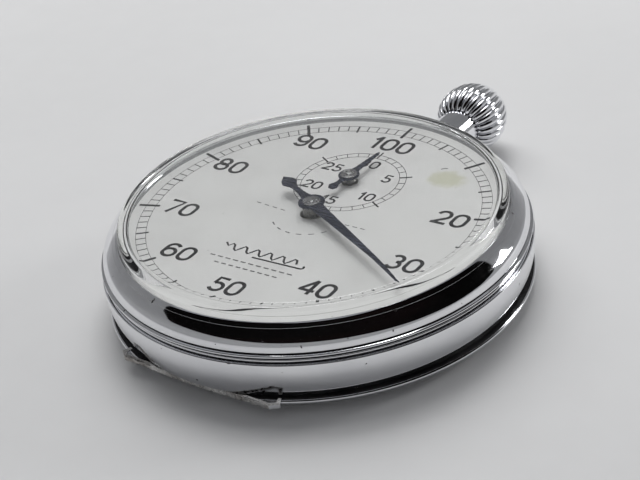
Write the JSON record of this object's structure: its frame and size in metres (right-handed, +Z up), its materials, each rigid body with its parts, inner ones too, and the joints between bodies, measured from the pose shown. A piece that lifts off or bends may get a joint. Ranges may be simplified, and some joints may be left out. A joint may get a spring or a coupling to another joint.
{
  "type": "mechanical stopwatch",
  "caption": "Pocket stopwatch with a chromed snap case, ribbed push crown, hundredth-minute dial, sweep hand and minute counter over a full wound movement.",
  "frame": {"origin": "on the watch's axis, at the centre of the flat of the back cover that it rests on", "axes": "+Z up through the dial towards the viewer, +Y towards the crown (12 o'clock), +X to the dial's right"},
  "size_m": [0.05, 0.0643, 0.0129],
  "materials": {
    "chromed_brass": "bright chrome plate, fine wear and small pits",
    "acrylic": "clear polished acrylic",
    "silvered_dial": "matte silver-white lacquer with printed scales",
    "nickel_plate": "nickel plate, straight grained",
    "gilt_brass": "polished brass",
    "blued_hand": "blue-black steel",
    "blued_steel": "blued spring steel",
    "ruby": "synthetic ruby",
    "pipe_steel": "grey turned steel",
    "polished_steel": "polished hardened steel"
  },
  "bodies": {
    "movement_case": {"case_band": "chromed_brass", "back_cover": "chromed_brass", "bezel": "chromed_brass", "crystal": "acrylic", "pendant_tube": "chromed_brass", "case_screws": "blued_steel", "dial": "silvered_dial", "mainplate": "nickel_plate", "barrel_bridge": "nickel_plate", "train_bridge": "nickel_plate", "balance_cock": "nickel_plate", "pallet_bridge": "nickel_plate", "bridge_screws": "blued_steel", "plate_jewels": "ruby", "click_spring": "blued_steel", "crown_wheel_screw": "blued_steel", "column_post": "blued_steel", "column_jumper": "blued_steel", "lever_springs": "blued_steel", "hairspring_stud": "polished_steel", "crown_spring": "blued_steel"},
    "pusher": {"push_sleeve": "polished_steel"},
    "crown": {"crown": "chromed_brass", "stem": "polished_steel"},
    "winding_pinion": {"winding_pinion": "polished_steel"},
    "crown_wheel": {"crown_wheel": "polished_steel"},
    "ratchet": {"ratchet_wheel": "polished_steel", "ratchet_screw": "blued_steel", "barrel_arbor": "polished_steel"},
    "click": {"click": "polished_steel"},
    "operating_lever": {"operating_lever": "polished_steel"},
    "column_wheel": {"column_wheel": "polished_steel"},
    "brake_lever": {"brake_lever": "polished_steel"},
    "reset_hammer": {"reset_hammer": "polished_steel"},
    "sweep": {"sweep_arbor": "polished_steel", "fourth_wheel": "gilt_brass", "sweep_heart": "polished_steel", "sweep_pipe": "pipe_steel", "sweep_hand": "blued_hand"},
    "third": {"third_wheel": "gilt_brass", "third_pinion": "polished_steel"},
    "second": {"second_wheel": "gilt_brass", "second_pinion": "polished_steel"},
    "barrel": {"barrel_drum": "gilt_brass", "barrel_cover": "gilt_brass", "mainspring": "blued_steel"},
    "escape": {"escape_wheel": "polished_steel", "escape_pinion": "polished_steel"},
    "minute": {"minute_arbor": "polished_steel", "minute_wheel": "gilt_brass", "minute_heart": "polished_steel", "minute_hand": "blued_hand"},
    "intermediate": {"intermediate_wheel": "gilt_brass"},
    "balance": {"balance_wheel": "gilt_brass", "balance_staff": "polished_steel", "roller": "polished_steel", "hairspring": "blued_steel"},
    "fork": {"pallet_fork": "polished_steel", "pallet_stones": "ruby"},
    "regulator": {"regulator": "polished_steel"}
  },
  "joints": [
    {"name": "crown_push", "type": "slide", "parent": "movement_case", "child": "pusher", "axis": [0, -1, 0], "range_m": [0, 0.0011], "stiffness_N_per_m": 800, "springref_m": -0.0005, "deforming": ["crown_spring"]},
    {"name": "crown_turn", "type": "hinge", "parent": "pusher", "child": "crown", "pos_m": [0, 0.03, 0.00487], "axis": [0, 1, 0], "continuous": true},
    {"name": "winding_pinion_turn", "type": "hinge", "parent": "movement_case", "child": "winding_pinion", "pos_m": [0, 0.01622, 0.00487], "axis": [0, 1, 0], "continuous": true},
    {"name": "crown_wheel_turn", "type": "hinge", "parent": "movement_case", "child": "crown_wheel", "pos_m": [0, 0.0142, 0.005], "axis": [0, 0, 1], "continuous": true},
    {"name": "ratchet_turn", "type": "hinge", "parent": "movement_case", "child": "ratchet", "pos_m": [-0.00739, 0.00946, 0.005], "axis": [0, 0, 1], "continuous": true},
    {"name": "click_swing", "type": "hinge", "parent": "movement_case", "child": "click", "pos_m": [-0.01478, 0.00815, 0.005], "axis": [0, 0, 1], "range_deg": [0, 4], "stiffness_Nm_per_rad": 0.00001, "springref_deg": -11.46},
    {"name": "operating_lever_swing", "type": "hinge", "parent": "movement_case", "child": "operating_lever", "pos_m": [0.0086, 0.0144, 0.005], "axis": [0, 0, 1], "range_deg": [0, 7.43]},
    {"name": "column_turn", "type": "hinge", "parent": "movement_case", "child": "column_wheel", "pos_m": [0.0102, 0.0096, 0.005], "axis": [0, 0, -1], "range_deg": [0, 20.5]},
    {"name": "brake_swing", "type": "hinge", "parent": "movement_case", "child": "brake_lever", "pos_m": [0.0146, 0.0016, 0.005], "axis": [0, 0, 1], "range_deg": [0, 3.2]},
    {"name": "hammer_swing", "type": "hinge", "parent": "movement_case", "child": "reset_hammer", "pos_m": [0.0064, 0.0044, 0.005], "axis": [0, 0, 1], "range_deg": [0, 4.2]},
    {"name": "sweep_turn", "type": "hinge", "parent": "movement_case", "child": "sweep", "pos_m": [0, 0, 0.005], "axis": [0, 0, -1], "continuous": true},
    {"name": "third_turn", "type": "hinge", "parent": "movement_case", "child": "third", "pos_m": [-0.00369, -0.00321, 0.005], "axis": [0, 0, -1], "continuous": true},
    {"name": "second_turn", "type": "hinge", "parent": "movement_case", "child": "second", "pos_m": [-0.0067, 0.00181, 0.005], "axis": [0, 0, -1], "continuous": true},
    {"name": "barrel_turn", "type": "hinge", "parent": "movement_case", "child": "barrel", "pos_m": [-0.00739, 0.00946, 0.005], "axis": [0, 0, -1], "continuous": true},
    {"name": "escape_turn", "type": "hinge", "parent": "movement_case", "child": "escape", "pos_m": [0.00347, -0.00271, 0.005], "axis": [0, 0, -1], "continuous": true},
    {"name": "minute_turn", "type": "hinge", "parent": "movement_case", "child": "minute", "pos_m": [0, 0.00763, 0.005], "axis": [0, 0, -1], "continuous": true},
    {"name": "intermediate_turn", "type": "hinge", "parent": "movement_case", "child": "intermediate", "pos_m": [0.0022, 0.0033, 0.005], "axis": [0, 0, -1], "continuous": true},
    {"name": "balance_swing", "type": "hinge", "parent": "movement_case", "child": "balance", "pos_m": [0.00688, -0.00913, 0.005], "axis": [0, 0, -1], "range_deg": [-220, 220], "stiffness_Nm_per_rad": 0.0000011, "deforming": ["hairspring"]},
    {"name": "fork_swing", "type": "hinge", "parent": "movement_case", "child": "fork", "pos_m": [0.00482, -0.00525, 0.005], "axis": [0, 0, -1], "range_deg": [-5.2, 5.2]},
    {"name": "regulator_turn", "type": "hinge", "parent": "movement_case", "child": "regulator", "pos_m": [0.00688, -0.00913, 0.005], "axis": [0, 0, 1], "range_deg": [-25, 25]}
  ],
  "couplings": [
    {"joint": "winding_pinion_turn", "follows": "crown_turn", "ratio": 1},
    {"joint": "crown_wheel_turn", "follows": "crown_turn", "ratio": 0.5},
    {"joint": "ratchet_turn", "follows": "crown_turn", "ratio": -0.23077},
    {"joint": "operating_lever_swing", "follows": "crown_push", "rad_per_m": 116.28},
    {"joint": "column_turn", "follows": "crown_push", "rad_per_m": 317.33},
    {"joint": "brake_swing", "follows": "crown_push", "rad_per_m": 47.6},
    {"joint": "hammer_swing", "follows": "crown_push", "rad_per_m": 63.467},
    {"joint": "third_turn", "follows": "sweep_turn", "ratio": -0.13333},
    {"joint": "second_turn", "follows": "sweep_turn", "ratio": 0.016667},
    {"joint": "barrel_turn", "follows": "sweep_turn", "ratio": -0.002381},
    {"joint": "escape_turn", "follows": "sweep_turn", "ratio": -10},
    {"joint": "minute_turn", "follows": "sweep_turn", "ratio": 0.033333},
    {"joint": "intermediate_turn", "follows": "sweep_turn", "ratio": -0.1},
    {"joint": "fork_swing", "follows": "balance_swing", "ratio": -0.022727}
  ]
}
